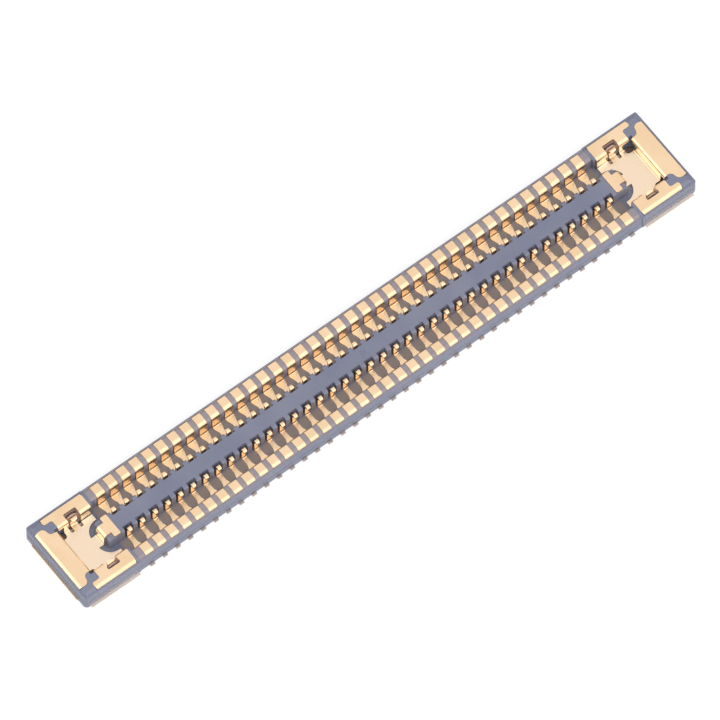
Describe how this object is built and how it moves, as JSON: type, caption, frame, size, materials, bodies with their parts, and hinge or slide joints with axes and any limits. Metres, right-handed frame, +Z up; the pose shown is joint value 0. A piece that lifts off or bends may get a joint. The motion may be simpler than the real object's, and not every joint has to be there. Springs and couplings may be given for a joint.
{
  "type": "fpc connector",
  "caption": "Low board-to-board receptacle for a flex circuit: a long moulded housing with two rows of formed contacts and a formed hold-down at each end.",
  "frame": {"origin": "centre of the footprint on the solder plane", "axes": "+X along the contact rows, +Y across them, +Z up from the circuit board towards the mating side"},
  "size_m": [0.017, 0.0024, 0.0005],
  "materials": {
    "housing": "moulded, blue-grey glass-filled polymer",
    "contact": "gold-plated copper alloy, satin",
    "hold_down": "gold-plated copper alloy, satin"
  },
  "bodies": {
    "root": {"housing": "housing", "hold_down_left": "hold_down", "hold_down_right": "hold_down", "contact_pair_01": "contact", "contact_pair_02": "contact", "contact_pair_03": "contact", "contact_pair_04": "contact", "contact_pair_05": "contact", "contact_pair_06": "contact", "contact_pair_07": "contact", "contact_pair_08": "contact", "contact_pair_09": "contact", "contact_pair_10": "contact", "contact_pair_11": "contact", "contact_pair_12": "contact", "contact_pair_13": "contact", "contact_pair_14": "contact", "contact_pair_15": "contact", "contact_pair_16": "contact", "contact_pair_17": "contact", "contact_pair_18": "contact", "contact_pair_19": "contact", "contact_pair_20": "contact", "contact_pair_21": "contact", "contact_pair_22": "contact", "contact_pair_23": "contact", "contact_pair_24": "contact", "contact_pair_25": "contact", "contact_pair_26": "contact", "contact_pair_27": "contact", "contact_pair_28": "contact", "contact_pair_29": "contact", "contact_pair_30": "contact", "contact_pair_31": "contact", "contact_pair_32": "contact", "contact_pair_33": "contact", "contact_pair_34": "contact", "contact_pair_35": "contact", "contact_pair_36": "contact", "contact_pair_37": "contact", "contact_pair_38": "contact", "contact_pair_39": "contact"}
  },
  "joints": []
}
